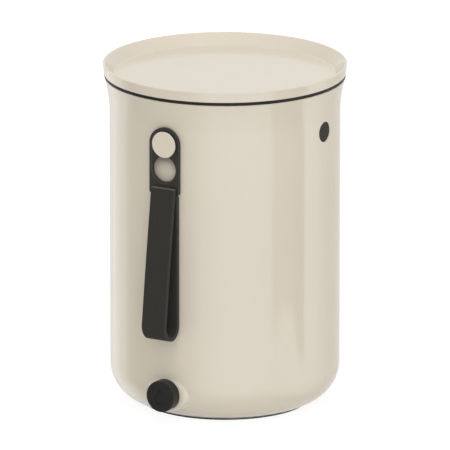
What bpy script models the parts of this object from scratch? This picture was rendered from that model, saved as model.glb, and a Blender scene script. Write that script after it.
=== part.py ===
# A bokashi bin: bucket, sealed lid, strainer, drain tap and a strap held by two keyhole ends.
# Metres, +Z up. The origin is on the bin's axis at the ground, and the tap and the strap face -Y.
# Every side fitting is drawn along its own axis, so "out" below is a distance from the bin's axis.

import math

import bmesh
import bpy

# Roundness of the turned pieces, in steps per turn
LARGE_STEPS = 44
PLATE_STEPS = 36
SMALL_STEPS = 20
TINY_STEPS = 12
CORNER_PIECES = 6
EDGE_PIECES = 3
HALF_ROUND_PIECES = 18
SLOT_PIECES = 10
HOLE_PIECES = 22

# Gap that touching pieces keep, how far a cutter runs past what it cuts, and what counts as one point
SEAT_GAP = 0.0003
OVERRUN = 0.010
WELD_DISTANCE = 0.00001

# Bucket
BODY_TOP = 0.3080
BODY_BOTTOM = 0.0013
WALL = 0.0025
NECK_RADIUS = 0.1063
FLARE_REACH = 0.0044
WALL_DRAFT = 0.0005
MOUTH_RADIUS = NECK_RADIUS + FLARE_REACH
BASE_RADIUS = NECK_RADIUS - WALL_DRAFT
FLARE_HEIGHT = 0.0290
CORNER_RADIUS = 0.0353
RIM_EDGE = 0.0008
FLARE_POWER = 1.5
FLARE_PIECES = 5
# The exact solver leaves slivers open where the boss and the pads meet the round wall
BUCKET_SOLVER = "MANIFOLD"

# Anti-slip ring under the base, just outside its flat middle
FOOT_INSET = 0.0017
FOOT_WIDTH = 0.0070
FOOT_EDGE = 0.0005
FOOT_TONGUE_INSET = 0.0021
FOOT_TONGUE_WIDTH = 0.0030
FOOT_TONGUE_RISE = 0.0010
FOOT_INNER = BASE_RADIUS - CORNER_RADIUS + FOOT_INSET
FOOT_OUTER = FOOT_INNER + FOOT_WIDTH
FOOT_TONGUE_INNER = FOOT_INNER + FOOT_TONGUE_INSET
FOOT_TONGUE_OUTER = FOOT_TONGUE_INNER + FOOT_TONGUE_WIDTH
FOOT_TONGUE_TOP = BODY_BOTTOM + FOOT_TONGUE_RISE

# Lid: a tray whose thin wall stands above a flat disc
LID_LIFT = 0.0033
LID_HEIGHT = 0.0087
LID_OVERHANG = 0.0006
LID_FLARE = 0.0011
LID_SKIN = 0.0019
LID_EDGE = 0.0005
TRAY_DROP = 0.0015
TRAY_INSET = 0.0028
TRAY_THICK = 0.0022
TRAY_FILLET = 0.0022
TRAY_FILLET_SHARES = (0.25, 0.125)
PLUG_PLAY = 0.0036
PLUG_REACH = 0.0090
PLUG_THICK = 0.0021
LID_UNDER = BODY_TOP + LID_LIFT
LID_TOP = LID_UNDER + LID_HEIGHT
LID_FOOT_RADIUS = MOUTH_RADIUS + LID_OVERHANG
LID_RADIUS = LID_FOOT_RADIUS + LID_FLARE
PLUG_RADIUS = MOUTH_RADIUS - WALL - PLUG_PLAY
PLUG_BOTTOM = BODY_TOP - PLUG_REACH
TRAY_RADIUS = PLUG_RADIUS - TRAY_INSET
TRAY_Z = LID_UNDER - TRAY_DROP

# Lid seal: a flat ring on the bucket's rim with a lip that wipes the wall inside
SEAL_OVERHANG = 0.0004
SEAL_LIP_THICK = 0.0013
SEAL_FIN_REACH = 0.0011
SEAL_FIN_DROP = 0.0030
SEAL_FIN_THICK = 0.0009
SEAL_LIP_DROP = 0.0060
SEAL_RADIUS = MOUTH_RADIUS + SEAL_OVERHANG

# Strainer: a perforated false bottom on legs, lifted by a knob in its middle
STRAINER_PLAY = 0.0033
LEG_HEIGHT = 0.0462
STRAINER_THICK = 0.0022
STRAINER_RIM_HEIGHT = 0.0060
STRAINER_RIM_THICK = 0.0020
RIB_SHARE = 0.6
RIB_THICK = 0.0020
RIB_DROP = 0.0035
LEG_COUNT = 6
LEG_TOP_RADIUS = 0.0046
LEG_FOOT_RADIUS = 0.0034
LIFT_STEM_RADIUS = 0.0045
LIFT_STEM_HEIGHT = 0.0100
LIFT_BALL_RADIUS = 0.0085
BALL_PIECES = 5
HOLE_RADIUS = 0.0018
HOLE_PITCH = 0.0220
HOLE_SIDES = 6
HOLE_RING_SHARES = (0.30, 0.53, 0.76, 1.24, 1.47)
STRAINER_RADIUS = BASE_RADIUS - WALL - STRAINER_PLAY
STRAINER_Z = BODY_BOTTOM + WALL + LEG_HEIGHT
RIB_RADIUS = STRAINER_RADIUS * RIB_SHARE

# Strap buttons, front and rear
BUTTON_DROP = 0.0412
BUTTON_RADIUS = 0.0126
BUTTON_HEAD_THICK = 0.0014
BUTTON_EDGE = 0.0004
BUTTON_NECK_RADIUS = 0.0050
BUTTON_STEM_RADIUS = 0.0040
BUTTON_BORE_RADIUS = 0.0017
BUTTON_CAP_THICK = 0.0018
WASHER_RADIUS = 0.0070
WASHER_THICK = 0.0010
SCREW_RADIUS = 0.0014
SCREW_HEAD_RADIUS = 0.0045
SCREW_HEAD_THICK = 0.0012
SCREW_SLOT = 0.0009
SCREW_SLOT_DEPTH = 0.0006
BUTTON_Z = BODY_TOP - BUTTON_DROP

# Strap ends: two like plates, one on the other
END_STAND_OFF = 0.0006
END_THICK = 0.0016
END_GAP = 0.0002
END_MARGIN = 0.0024
END_FOOT_DROP = 0.0474
END_CORNER = 0.0020
KEYHOLE_DROP = 0.0236
KEYHOLE_GRIP = 0.0003
KEYHOLE_SLOT_PLAY = 0.0004
POCKET_PLAY = 0.0008
POCKET_DEPTH = 0.0008
KEYHOLE_RADIUS = BUTTON_RADIUS - KEYHOLE_GRIP
KEYHOLE_SLOT = BUTTON_NECK_RADIUS + KEYHOLE_SLOT_PLAY
POCKET_RADIUS = BUTTON_RADIUS + POCKET_PLAY
END_HALF_WIDTH = POCKET_RADIUS + END_MARGIN

# Strap band: a tape folded into a loop that hangs from both ends, its rear leg a little to the side
BAND_HALF_WIDTH = 0.01235
BAND_THICK = 0.0037
BAND_LAP = 0.0070
BAND_TAP_CLEARANCE = 0.04155
BAND_BEND_OUTER = 0.0117
BAND_SIDE_SHIFT = 0.0016
BAND_SHIFT_POWER = 3
BAND_EDGE = 0.0007
BAND_BEND_PIECES = 18

# Side plugs: rubber, pressed into recessed pads in the wall
SIDE_PLUG_DROP = 0.0405
SIDE_PLUG_RADIUS = 0.00960
SIDE_PLUG_RECESS = 0.0013
SIDE_PLUG_THICK = 0.0010
SIDE_PLUG_EDGE = 0.0003
SIDE_PLUG_STEM = 0.0062
SIDE_PLUG_LIP_RADIUS = 0.0083
SIDE_PLUG_LIP_THICK = 0.0010
PAD_RADIUS = 0.0128
PAD_HEIGHT = 0.0014
SIDE_PLUG_Z = BODY_TOP - SIDE_PLUG_DROP

# Tap
TAP_RISE = 0.0265
BOSS_PROUD = 0.0008
BOSS_RADIUS = 0.0210
BOSS_EDGE = 0.0020
BOSS_WALL = 0.0030
BOSS_DEPTH = 0.0466
BOSS_SPREAD = 0.0040
BOSS_SKIRT_SHARES = ((0.25, 0.725), (1, 0.5), (1, 0))
KNOB_RADIUS = 0.01425
KNOB_REACH = 0.0102
KNOB_EDGE = 0.0006
KNOB_FRONT_THICK = 0.0014
KNOB_MOUTH_RADIUS = 0.0120
KNOB_MOUTH_DEPTH = 0.0021
KNOB_PIN_RADIUS = 0.0030
KNOB_PIN_LIP = 0.0009
KNOB_PIN_LIP_THICK = 0.0006
KNOB_PIN_TIP = 0.0010
DROP_RADIUS = 0.0053
DROP_CENTRE_DOWN = 0.0023
DROP_TIP_UP = 0.0073
DROP_DEPTH = 0.0007
HUB_RADIUS = 0.0096
HUB_WALL = 0.0015
BARREL_RADIUS = 0.0090
BARREL_LENGTH = 0.0116
BARREL_BORE = 0.0055
COLLAR_RADIUS = 0.0116
COLLAR_THICK = 0.0011
PORT_RADIUS = 0.0014
RING_WIRE = 0.00065
RING_GROOVE_DEPTH = 0.0014
RING_GROOVE_WIDTH = 0.0016
RING_SIDES = 6
OUTER_GASKET_THICK = 0.0006
INNER_GASKET_THICK = 0.0012
INNER_GASKET_RADIUS = 0.0130
NUT_RADIUS = 0.0138
NUT_THICK = 0.0056
NUT_SIDES = 6
TAP_Z = BODY_BOTTOM + TAP_RISE
BOSS_FACE_OUT = BASE_RADIUS + BOSS_PROUD
BOSS_ROOT_OUT = BOSS_FACE_OUT - BOSS_DEPTH
KNOB_FACE_OUT = BOSS_FACE_OUT + KNOB_REACH
BARREL_END_OUT = BOSS_FACE_OUT - BARREL_LENGTH

# Turns that point a fitting's own Z axis out of the bin
FACE_FRONT = (math.radians(90), 0, 0)
FACE_REAR = (math.radians(-90), 0, 0)
FACE_RIGHT = (0, math.radians(90), 0)
FACE_LEFT = (0, math.radians(-90), 0)
FACE_DOWN = (math.radians(180), 0, 0)
UPRIGHT = (0, 0, 0)


# Scene and small helpers


def clear_scene():
    for item in list(bpy.data.objects):
        bpy.data.objects.remove(item, do_unlink=True)


def new_collection(name):
    group = bpy.data.collections.new(name)
    bpy.context.scene.collection.children.link(group)
    return group


def new_material(name, colour, roughness, metallic=0.0):
    look = bpy.data.materials.new(name)
    look.use_nodes = True
    surface = look.node_tree.nodes["Principled BSDF"]
    surface.inputs["Base Color"].default_value = (*colour, 1.0)
    surface.inputs["Roughness"].default_value = roughness
    surface.inputs["Metallic"].default_value = metallic
    look.diffuse_color = (*colour, 1.0)
    return look


def place(name, mesh, group, look, location, turn):
    item = bpy.data.objects.new(name, mesh)
    item.location = location
    item.rotation_euler = turn
    group.objects.link(item)
    if look:
        mesh.materials.append(look)
    if group is CUTTERS:
        item.hide_render = True
        item.display_type = "WIRE"
    return item


def arc(centre, radius, start, end, pieces):
    """Points along an arc, both ends included, with angles in degrees."""
    points = []
    for i in range(pieces + 1):
        angle = math.radians(start + (end - start) * i / pieces)
        points.append((centre[0] + radius * math.cos(angle), centre[1] + radius * math.sin(angle)))
    return points


def circle(centre, radius, sides):
    """Corners round a full circle, clockwise, so that a ring's section runs down its outer side."""
    return arc(centre, radius, 0, -360, sides)[:-1]


def turned(name, profile, look, steps, height=0, turn=UPRIGHT, group=None, ring=False):
    """A solid of revolution from (radius, height) points that run down its outer side."""
    mesh = bpy.data.meshes.new(name)
    edges = [(i, i + 1) for i in range(len(profile) - 1)]
    if ring:
        edges.append((len(profile) - 1, 0))
    mesh.from_pydata([(radius, 0, along) for radius, along in profile], edges, [])
    item = place(name, mesh, group or PARTS, look, (0, 0, height), turn)
    screw = item.modifiers.new("Turn", "SCREW")
    screw.steps = steps
    screw.render_steps = steps
    screw.use_merge_vertices = True
    screw.merge_threshold = WELD_DISTANCE
    return item


def rod(name, radius, start, end, height, turn, sides=SMALL_STEPS, tip_radius=None, aside=(0, 0)):
    """A cylinder or cone along a fitting's axis, used as a cutter or as an addition."""
    profile = [(0, end), (radius if tip_radius is None else tip_radius, end), (radius, start), (0, start)]
    item = turned(name, profile, None, sides, height, turn, CUTTERS)
    item.location.x += aside[0]
    item.location.y += aside[1]
    return item


def outline_mesh(name, outlines, thickness):
    """A flat solid from closed outlines, where an outline inside another is a hole."""
    curve = bpy.data.curves.new(name, "CURVE")
    curve.dimensions = "2D"
    curve.fill_mode = "BOTH"
    curve.extrude = thickness / 2
    for points in outlines:
        spline = curve.splines.new("POLY")
        spline.points.add(len(points) - 1)
        for point, (x, y) in zip(spline.points, points):
            point.co = (x, y, 0, 1)
        spline.use_cyclic_u = True
    drawn = bpy.data.objects.new(name, curve)
    bpy.context.scene.collection.objects.link(drawn)
    graph = bpy.context.evaluated_depsgraph_get()
    mesh = bpy.data.meshes.new_from_object(drawn.evaluated_get(graph))
    bpy.data.objects.remove(drawn, do_unlink=True)
    bpy.data.curves.remove(curve)
    welded = bmesh.new()
    welded.from_mesh(mesh)
    bmesh.ops.remove_doubles(welded, verts=welded.verts, dist=WELD_DISTANCE)
    bmesh.ops.recalc_face_normals(welded, faces=welded.faces)
    welded.to_mesh(mesh)
    welded.free()
    return mesh


def combine(target, tool, operation, solver):
    step = target.modifiers.new(tool.name, "BOOLEAN")
    step.operation = operation
    step.object = tool
    step.solver = solver


def cut(target, tool, solver="EXACT"):
    combine(target, tool, "DIFFERENCE", solver)


def add(target, tool, solver="EXACT"):
    combine(target, tool, "UNION", solver)


# Bucket


def wall_radius(height):
    """Radius of the bucket's outer wall above its rounded corner."""
    flare_start = BODY_TOP - FLARE_HEIGHT
    corner_top = BODY_BOTTOM + CORNER_RADIUS
    if height > flare_start:
        share = (height - flare_start) / FLARE_HEIGHT
        return NECK_RADIUS + (MOUTH_RADIUS - NECK_RADIUS) * share**FLARE_POWER
    share = (height - corner_top) / (flare_start - corner_top)
    return BASE_RADIUS + (NECK_RADIUS - BASE_RADIUS) * share


def underside(radius):
    """Height of the bucket's outer underside at a radius."""
    across = max(0, radius - (BASE_RADIUS - CORNER_RADIUS))
    return BODY_BOTTOM + CORNER_RADIUS - math.sqrt(CORNER_RADIUS**2 - across**2)


def flare_heights():
    start = BODY_TOP - FLARE_HEIGHT
    return [start + (FLARE_HEIGHT - RIM_EDGE) * i / FLARE_PIECES for i in range(FLARE_PIECES, -1, -1)]


def corner_angle(radius):
    """Angle on the rounded corner, in degrees, where its outer side has this radius."""
    return -math.degrees(math.acos((radius - BASE_RADIUS + CORNER_RADIUS) / CORNER_RADIUS))


def outer_profile():
    """From the middle of the mouth over the rim and down the outside to the middle of the base."""
    centre = (BASE_RADIUS - CORNER_RADIUS, BODY_BOTTOM + CORNER_RADIUS)
    groove_outer = FOOT_TONGUE_OUTER + SEAT_GAP
    groove_inner = FOOT_TONGUE_INNER - SEAT_GAP
    groove_top = FOOT_TONGUE_TOP + SEAT_GAP
    points = [(0, BODY_TOP), (MOUTH_RADIUS - RIM_EDGE, BODY_TOP)]
    points += [(wall_radius(height), height) for height in flare_heights()]
    points += arc(centre, CORNER_RADIUS, 0, corner_angle(groove_outer), CORNER_PIECES)
    points += [(groove_outer, groove_top), (groove_inner, groove_top)]
    points += [(groove_inner, underside(groove_inner)), (centre[0], BODY_BOTTOM), (0, BODY_BOTTOM)]
    return points


def inner_profile():
    """The hollow of the bucket, open past the rim, as a cutter's outline."""
    centre = (BASE_RADIUS - CORNER_RADIUS, BODY_BOTTOM + CORNER_RADIUS)
    mouth = MOUTH_RADIUS - WALL
    points = [(0, BODY_TOP + OVERRUN), (mouth + RIM_EDGE, BODY_TOP + OVERRUN), (mouth + RIM_EDGE, BODY_TOP)]
    points += [(wall_radius(height) - WALL, height) for height in flare_heights()]
    points += arc(centre, CORNER_RADIUS - WALL, 0, -90, CORNER_PIECES)
    points.append((0, BODY_BOTTOM + WALL))
    return points


def boss_profile(radius, face, edge):
    """The tap's boss, round at its face and spreading softly towards the corner of the bucket."""
    points = [(0, face)]
    points += arc((radius - edge, face - edge), edge, 90, 0, EDGE_PIECES)
    for spread, height in BOSS_SKIRT_SHARES:
        points.append((radius + BOSS_SPREAD * spread, BOSS_ROOT_OUT + BOSS_DEPTH * height))
    points.append((0, BOSS_ROOT_OUT))
    return points


def button_sides():
    return (("front", FACE_FRONT), ("rear", FACE_REAR))


def plug_sides():
    return (("right", FACE_RIGHT), ("left", FACE_LEFT))


def pad_face_out():
    return wall_radius(SIDE_PLUG_Z) - WALL - PAD_HEIGHT


def plug_seat_out():
    return wall_radius(SIDE_PLUG_Z) - SIDE_PLUG_RECESS - SIDE_PLUG_THICK - SEAT_GAP


def stepped_cutter(name, height, turn, outside, outer_radius, step_out, inner_radius, inside):
    """A cutter from outside the wall to inside it, whose radius changes at the step."""
    profile = [
        (0, outside),
        (outer_radius, outside),
        (outer_radius, step_out),
        (inner_radius, step_out),
        (inner_radius, inside),
        (0, inside),
    ]
    return turned(name, profile, None, SMALL_STEPS, height, turn, CUTTERS)


def make_hollow():
    """The inside of the bucket, with the two pads that carry the side plugs left out of it."""
    hollow = turned("hollow", inner_profile(), None, LARGE_STEPS, group=CUTTERS)
    for side, turn in plug_sides():
        outside = wall_radius(SIDE_PLUG_Z) + OVERRUN
        pad = rod(f"{side}_pad", PAD_RADIUS, pad_face_out(), outside, SIDE_PLUG_Z, turn)
        cut(hollow, pad, BUCKET_SOLVER)
    return hollow


def make_bucket():
    bucket = turned("bin_body", outer_profile(), BODY_LOOK, LARGE_STEPS)
    boss = boss_profile(BOSS_RADIUS, BOSS_FACE_OUT, BOSS_EDGE)
    add(bucket, turned("boss", boss, None, SMALL_STEPS, TAP_Z, FACE_FRONT, CUTTERS), BUCKET_SOLVER)
    cut(bucket, make_hollow(), BUCKET_SOLVER)
    tap_seat = stepped_cutter(
        "tap_seat", TAP_Z, FACE_FRONT, BOSS_FACE_OUT + OVERRUN, BARREL_RADIUS + SEAT_GAP,
        BOSS_FACE_OUT - BOSS_WALL, BOSS_RADIUS - WALL, BOSS_ROOT_OUT,
    )
    cut(bucket, tap_seat, BUCKET_SOLVER)
    for side, turn in button_sides():
        inside = wall_radius(BUTTON_Z) - WALL - OVERRUN
        outside = wall_radius(BUTTON_Z) + OVERRUN
        radius = BUTTON_STEM_RADIUS + SEAT_GAP
        hole = rod(f"{side}_button_hole", radius, inside, outside, BUTTON_Z, turn, TINY_STEPS)
        cut(bucket, hole, BUCKET_SOLVER)
    for side, turn in plug_sides():
        plug_seat = stepped_cutter(
            f"{side}_plug_seat", SIDE_PLUG_Z, turn, wall_radius(SIDE_PLUG_Z) + OVERRUN, SIDE_PLUG_RADIUS + SEAT_GAP,
            plug_seat_out(), SIDE_PLUG_STEM + SEAT_GAP, pad_face_out() - OVERRUN,
        )
        cut(bucket, plug_seat, BUCKET_SOLVER)
    return bucket


def make_foot_ring():
    """Anti-slip ring whose tongue sits in the groove under the base."""
    outer_top = underside(FOOT_OUTER) - SEAT_GAP
    profile = [
        (FOOT_OUTER, outer_top),
        (FOOT_OUTER, FOOT_EDGE),
        (FOOT_OUTER - FOOT_EDGE, 0),
        (FOOT_INNER + FOOT_EDGE, 0),
        (FOOT_INNER, FOOT_EDGE),
        (FOOT_INNER, underside(FOOT_INNER) - SEAT_GAP),
        (FOOT_TONGUE_INNER, underside(FOOT_INNER) - SEAT_GAP),
        (FOOT_TONGUE_INNER, FOOT_TONGUE_TOP),
        (FOOT_TONGUE_OUTER, FOOT_TONGUE_TOP),
        (FOOT_TONGUE_OUTER, underside(FOOT_TONGUE_INNER) - SEAT_GAP),
    ]
    return turned("foot_ring", profile, RUBBER_LOOK, LARGE_STEPS, ring=True)


# Lid and its seal


def make_lid():
    """Tray lid: disc, sloping inner wall, thin rim, outer wall and the plug that enters the mouth."""
    rim_inner = LID_RADIUS - LID_SKIN
    wall_inner = LID_FOOT_RADIUS - LID_SKIN
    slope_run = rim_inner - TRAY_RADIUS
    slope_rise = LID_TOP - TRAY_Z
    slope = math.hypot(slope_run, slope_rise)
    tray_under = TRAY_Z - TRAY_THICK
    pocket_inner = TRAY_RADIUS + slope_run * (LID_UNDER - TRAY_Z) / slope_rise + LID_SKIN * slope / slope_rise
    pocket_top = LID_UNDER + (wall_inner - pocket_inner) * slope_rise / slope_run
    fillet_out = TRAY_FILLET * slope_run / slope
    fillet_up = TRAY_FILLET * slope_rise / slope
    fillet_in_share, fillet_up_share = TRAY_FILLET_SHARES
    plug_inner = PLUG_RADIUS - PLUG_THICK
    profile = [
        (0, TRAY_Z),
        (TRAY_RADIUS - TRAY_FILLET, TRAY_Z),
        (TRAY_RADIUS - TRAY_FILLET * fillet_in_share, TRAY_Z + fillet_up * fillet_up_share),
        (TRAY_RADIUS + fillet_out, TRAY_Z + fillet_up),
        (rim_inner, LID_TOP - LID_EDGE),
        (rim_inner + LID_EDGE, LID_TOP),
        (LID_RADIUS - LID_EDGE, LID_TOP),
        (LID_RADIUS, LID_TOP - LID_EDGE),
        (LID_FOOT_RADIUS, LID_UNDER + LID_EDGE),
        (LID_FOOT_RADIUS - LID_EDGE, LID_UNDER),
        (wall_inner, LID_UNDER),
        (wall_inner, pocket_top),
        (pocket_inner, LID_UNDER),
        (PLUG_RADIUS, LID_UNDER),
        (PLUG_RADIUS, PLUG_BOTTOM + LID_EDGE),
        (PLUG_RADIUS - LID_EDGE, PLUG_BOTTOM),
        (plug_inner + LID_EDGE, PLUG_BOTTOM),
        (plug_inner, PLUG_BOTTOM + LID_EDGE),
        (plug_inner, tray_under - TRAY_FILLET),
        (plug_inner - TRAY_FILLET, tray_under),
        (0, tray_under),
    ]
    return turned("lid", profile, BODY_LOOK, LARGE_STEPS)


def make_lid_seal():
    """Ring on the bucket's rim, with a lip inside the mouth that carries one wiping fin."""
    inner = PLUG_RADIUS + SEAT_GAP
    top = LID_UNDER - SEAT_GAP
    bottom = BODY_TOP + SEAT_GAP
    lip = inner + SEAL_LIP_THICK
    fin_z = bottom - SEAL_FIN_DROP
    profile = [
        (SEAL_RADIUS, top),
        (SEAL_RADIUS, bottom),
        (lip + SEAL_FIN_REACH, bottom),
        (lip, bottom - SEAL_FIN_THICK),
        (lip, fin_z + SEAL_FIN_THICK),
        (lip + SEAL_FIN_REACH, fin_z),
        (lip, fin_z - SEAL_FIN_THICK),
        (lip, bottom - SEAL_LIP_DROP),
        (inner, bottom - SEAL_LIP_DROP),
        (inner, top),
    ]
    return turned("lid_seal", profile, RUBBER_LOOK, LARGE_STEPS, ring=True)


# Strainer


def strainer_profile():
    """Half section of the plate with its rim, lifting knob and stiffening rib."""
    top = STRAINER_Z + STRAINER_THICK
    rim_top = top + STRAINER_RIM_HEIGHT
    rim_inner = STRAINER_RADIUS - STRAINER_RIM_THICK
    ball_z = top + LIFT_STEM_HEIGHT + LIFT_BALL_RADIUS
    neck_angle = -math.degrees(math.acos(LIFT_STEM_RADIUS / LIFT_BALL_RADIUS))
    points = arc((0, ball_z), LIFT_BALL_RADIUS, 90, neck_angle, BALL_PIECES)
    points[0] = (0, points[0][1])
    points += [(LIFT_STEM_RADIUS, top), (rim_inner, top), (rim_inner, rim_top)]
    points += [(STRAINER_RADIUS, rim_top), (STRAINER_RADIUS, STRAINER_Z)]
    points += [(RIB_RADIUS + RIB_THICK / 2, STRAINER_Z), (RIB_RADIUS + RIB_THICK / 2, STRAINER_Z - RIB_DROP)]
    points += [(RIB_RADIUS - RIB_THICK / 2, STRAINER_Z - RIB_DROP), (RIB_RADIUS - RIB_THICK / 2, STRAINER_Z)]
    points.append((0, STRAINER_Z))
    return points


def strainer_holes():
    """One cutter that holds every drain hole, in rings about the middle."""
    holes = bmesh.new()
    for share in HOLE_RING_SHARES:
        ring_radius = RIB_RADIUS * share
        count = round(2 * math.pi * ring_radius / HOLE_PITCH)
        for i in range(count):
            angle = 2 * math.pi * i / count
            made = bmesh.ops.create_cone(
                holes, cap_ends=True, segments=HOLE_SIDES, radius1=HOLE_RADIUS, radius2=HOLE_RADIUS,
                depth=STRAINER_THICK + OVERRUN,
            )
            centre = (ring_radius * math.cos(angle), ring_radius * math.sin(angle), STRAINER_Z)
            bmesh.ops.translate(holes, verts=made["verts"], vec=centre)
    mesh = bpy.data.meshes.new("drain_holes")
    holes.to_mesh(mesh)
    holes.free()
    return place("drain_holes", mesh, CUTTERS, None, (0, 0, 0), UPRIGHT)


def make_strainer():
    strainer = turned("strainer", strainer_profile(), STRAINER_LOOK, PLATE_STEPS)
    foot_z = BODY_BOTTOM + WALL + SEAT_GAP
    for i in range(LEG_COUNT):
        angle = 2 * math.pi * (i + 0.5) / LEG_COUNT
        aside = (RIB_RADIUS * math.cos(angle), RIB_RADIUS * math.sin(angle))
        top = STRAINER_Z + STRAINER_THICK / 2
        leg = rod(f"leg_{i + 1}", LEG_FOOT_RADIUS, foot_z, top, 0, UPRIGHT, TINY_STEPS, LEG_TOP_RADIUS, aside)
        add(strainer, leg)
    cut(strainer, strainer_holes())
    return strainer


# Strap buttons and what holds them


def inner_wall_out(height, half_width):
    """How far out the bucket's inner wall lies beside a fitting of this half width."""
    return math.sqrt((wall_radius(height) - WALL) ** 2 - half_width**2)


def button_face_out():
    """The button's head lies on the floor of the front end's pocket."""
    return end_back_out(1) + END_THICK - POCKET_DEPTH + SEAT_GAP + BUTTON_HEAD_THICK


def make_button(side, turn):
    """Mushroom button with a screw bore, and its washer and screw inside the bucket."""
    wall_out = wall_radius(BUTTON_Z)
    face = button_face_out()
    head_back = face - BUTTON_HEAD_THICK
    washer_top = inner_wall_out(BUTTON_Z, WASHER_RADIUS) - SEAT_GAP
    stem_end = washer_top + SEAT_GAP
    bore_end = face - BUTTON_CAP_THICK
    profile = [
        (0, face),
        (BUTTON_RADIUS - BUTTON_EDGE, face),
        (BUTTON_RADIUS, face - BUTTON_EDGE),
        (BUTTON_RADIUS, head_back),
        (BUTTON_NECK_RADIUS, head_back),
        (BUTTON_NECK_RADIUS, wall_out + SEAT_GAP),
        (BUTTON_STEM_RADIUS, wall_out + SEAT_GAP),
        (BUTTON_STEM_RADIUS, stem_end),
        (BUTTON_BORE_RADIUS, stem_end),
        (BUTTON_BORE_RADIUS, bore_end),
        (0, bore_end),
    ]
    turned(f"{side}_button", profile, BODY_LOOK, SMALL_STEPS, BUTTON_Z, turn)
    washer_back = washer_top - WASHER_THICK
    washer = [
        (WASHER_RADIUS, washer_top),
        (WASHER_RADIUS, washer_back),
        (BUTTON_BORE_RADIUS, washer_back),
        (BUTTON_BORE_RADIUS, washer_top),
    ]
    turned(f"{side}_button_washer", washer, RUBBER_LOOK, SMALL_STEPS, BUTTON_Z, turn, ring=True)
    head_top = washer_back - SEAT_GAP
    head_end = head_top - SCREW_HEAD_THICK
    screw = [
        (0, bore_end - SEAT_GAP),
        (SCREW_RADIUS, bore_end - SEAT_GAP),
        (SCREW_RADIUS, head_top),
        (SCREW_HEAD_RADIUS, head_top),
        (SCREW_HEAD_RADIUS - BUTTON_EDGE, head_end),
        (0, head_end),
    ]
    fastener = turned(f"{side}_button_screw", screw, STEEL_LOOK, TINY_STEPS, BUTTON_Z, turn)
    slot_outline = [
        (-OVERRUN, -SCREW_SLOT / 2),
        (OVERRUN, -SCREW_SLOT / 2),
        (OVERRUN, SCREW_SLOT / 2),
        (-OVERRUN, SCREW_SLOT / 2),
    ]
    mesh = outline_mesh(f"{side}_screw_slot", [slot_outline], 2 * SCREW_SLOT_DEPTH)
    sign = -1 if side == "front" else 1
    cut(fastener, place(f"{side}_screw_slot", mesh, CUTTERS, None, (0, sign * head_end, BUTTON_Z), turn))


# Strap


def end_outline():
    """Outer edge of a strap end, about its button: a straight tongue with a round top."""
    foot = -END_FOOT_DROP
    side = END_HALF_WIDTH
    points = arc((0, 0), side, 0, 180, HALF_ROUND_PIECES)
    points += arc((-side + END_CORNER, foot + END_CORNER), END_CORNER, 180, 270, EDGE_PIECES)
    points += arc((side - END_CORNER, foot + END_CORNER), END_CORNER, 270, 360, EDGE_PIECES)
    return points


def keyhole_outline():
    """A round hole that passes the button's head, and a slot above it that holds the neck."""
    meet = math.degrees(math.asin(KEYHOLE_SLOT / KEYHOLE_RADIUS))
    points = arc((0, 0), KEYHOLE_SLOT, 0, 180, SLOT_PIECES)
    points += arc((0, -KEYHOLE_DROP), KEYHOLE_RADIUS, 90 + meet, 450 - meet, HOLE_PIECES)
    return points


def pocket_outline():
    """The recess round the keyhole, in which the button's head lies."""
    points = arc((0, 0), POCKET_RADIUS, 0, 180, HALF_ROUND_PIECES)
    points += arc((0, -KEYHOLE_DROP), POCKET_RADIUS, 180, 360, HALF_ROUND_PIECES)
    return points


def end_back_out(layer):
    """Back face of the end plate in this layer, counted from the wall."""
    return wall_radius(BUTTON_Z) + END_STAND_OFF + layer * (END_THICK + END_GAP)


def make_strap_end(side, layer):
    """A keyhole plate; the front one shows its pocket, the rear one turns it to the wall."""
    back = end_back_out(layer)
    name = f"strap_end_{side}"
    mesh = outline_mesh(name, [end_outline(), keyhole_outline()], END_THICK)
    plate = place(name, mesh, PARTS, RUBBER_LOOK, (0, -back - END_THICK / 2, BUTTON_Z), FACE_FRONT)
    pocket_face = back + END_THICK if side == "front" else back
    mesh = outline_mesh(f"{side}_pocket", [pocket_outline()], 2 * POCKET_DEPTH)
    cut(plate, place(f"{side}_pocket", mesh, CUTTERS, None, (0, -pocket_face, BUTTON_Z), FACE_FRONT))


def band_centreline():
    """Middle of the tape, as (out, up) from the button, down in front, round the bend and up behind."""
    radius = BAND_BEND_OUTER - BAND_THICK / 2
    rear_out = end_back_out(0) + BAND_THICK / 2
    bottom = TAP_Z + KNOB_RADIUS + BAND_TAP_CLEARANCE - BUTTON_Z
    bend = (rear_out + radius, bottom + BAND_BEND_OUTER)
    front = (end_back_out(2) + BAND_THICK / 2, BAND_LAP - END_FOOT_DROP)
    away = math.hypot(front[0] - bend[0], front[1] - bend[1])
    touch = math.atan2(front[1] - bend[1], front[0] - bend[0]) - math.acos(radius / away)
    around = arc(bend, radius, math.degrees(touch), -180, BAND_BEND_PIECES)
    return [front] + around + [(rear_out, -END_FOOT_DROP - SEAT_GAP)]


def band_section():
    """The tape's cross-section, as (aside, outward), with its edges taken off."""
    side = BAND_HALF_WIDTH
    face = BAND_THICK / 2
    corner = [(side, face - BAND_EDGE), (side - BAND_EDGE, face)]
    upper = corner + [(-aside, out) for aside, out in reversed(corner)]
    return upper + [(-aside, -out) for aside, out in upper]


def band_shift(step, last):
    """How far to the side the tape has drifted, all of it in the bend, fastest in front."""
    share = min(max((step - 1) / (last - 2), 0), 1)
    return BAND_SIDE_SHIFT * (1 - (1 - share) ** BAND_SHIFT_POWER)


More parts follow.
